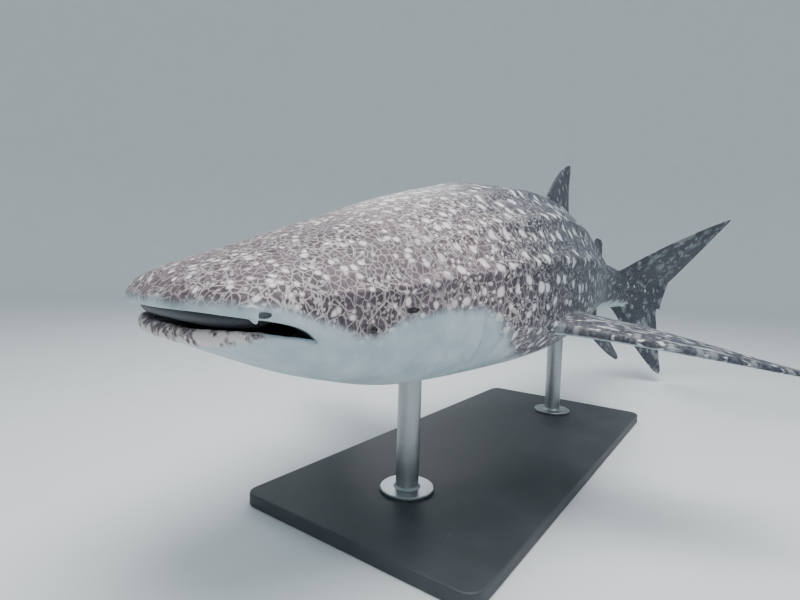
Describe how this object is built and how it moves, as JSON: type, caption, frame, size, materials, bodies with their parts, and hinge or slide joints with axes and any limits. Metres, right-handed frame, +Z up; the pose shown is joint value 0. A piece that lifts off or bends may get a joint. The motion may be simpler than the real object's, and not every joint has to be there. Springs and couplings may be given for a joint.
{
  "type": "whale shark",
  "caption": "Whale shark as a still life-size model, head turned a little and tail swept to the left, held level over a flat base by two rods.",
  "frame": {"origin": "middle of the underside of the stand's base, on the floor", "axes": "snout towards -X, tail towards +X, the animal's left side towards -Y, +Z up"},
  "size_m": [5.4183, 2.9196, 1.932],
  "materials": {
    "skin": "satin hide, slate grey-brown with pale spots above, off-white below",
    "eye": "glossy, near black",
    "stand_base": "satin dark grey paint",
    "stand_steel": "brushed"
  },
  "bodies": {
    "root": {"eye_left": "eye", "eye_right": "eye", "head": "skin", "lower_jaw": "skin", "gill_region": "skin", "shoulder_region": "skin", "trunk": "skin", "tail_stock": "skin", "tail_fin_upper": "skin", "tail_fin_lower": "skin", "first_dorsal_fin": "skin", "second_dorsal_fin": "skin", "anal_fin": "skin", "pectoral_fin_left": "skin", "pelvic_fin_left": "skin", "pectoral_fin_right": "skin", "pelvic_fin_right": "skin", "stand_base": "stand_base", "stand_rod_front": "stand_steel", "stand_rod_rear": "stand_steel"}
  },
  "joints": []
}
